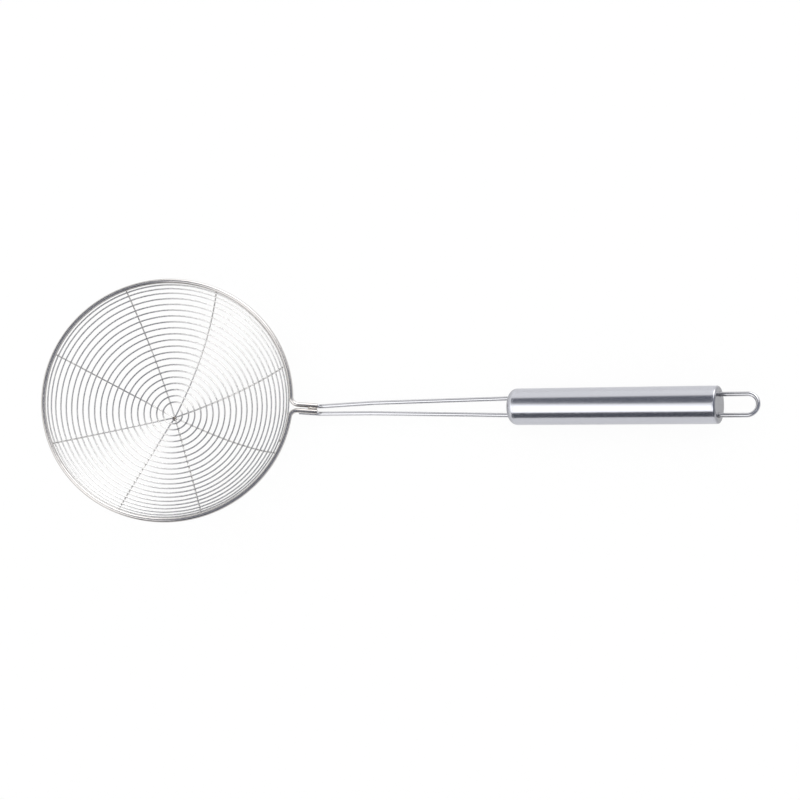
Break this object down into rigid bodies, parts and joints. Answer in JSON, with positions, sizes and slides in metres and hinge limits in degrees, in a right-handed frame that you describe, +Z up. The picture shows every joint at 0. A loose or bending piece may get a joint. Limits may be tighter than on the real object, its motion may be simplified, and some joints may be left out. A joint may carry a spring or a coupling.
{
  "type": "spider skimmer",
  "caption": "Round spiral-wire skimmer basket on a long two-legged rod with a tubular steel grip and a hanging loop.",
  "frame": {"origin": "middle of the part's bounding box, on the table that it rests on", "axes": "+X along the handle from the basket towards the hanging loop, +Z up with the basket's open side upwards, +Y to the left seen from the basket"},
  "size_m": [0.3801, 0.137, 0.0684],
  "materials": {
    "rim_wire": "bright drawn stainless steel wire",
    "basket_wire": "thin drawn stainless steel wire",
    "heat_tinted_weld": "fused steel with a straw and brown heat tint",
    "handle_wire": "bright drawn stainless steel rod, heat tinted at its welded ends",
    "grip_tube": "polished stainless steel tube with faint polishing lines along its length",
    "grip_cap": "pressed stainless steel, satin"
  },
  "bodies": {
    "root": {"rim_ring": "rim_wire", "spiral_wire": "basket_wire", "hub_weld": "heat_tinted_weld", "spoke_1": "basket_wire", "spoke_2": "basket_wire", "spoke_3": "basket_wire", "spoke_4": "basket_wire", "spoke_5": "basket_wire", "spoke_6": "basket_wire", "spoke_7": "basket_wire", "spoke_8": "basket_wire", "handle_rod": "handle_wire", "grip_tube": "grip_tube", "front_cap": "grip_cap", "rear_cap": "grip_cap"}
  },
  "joints": []
}
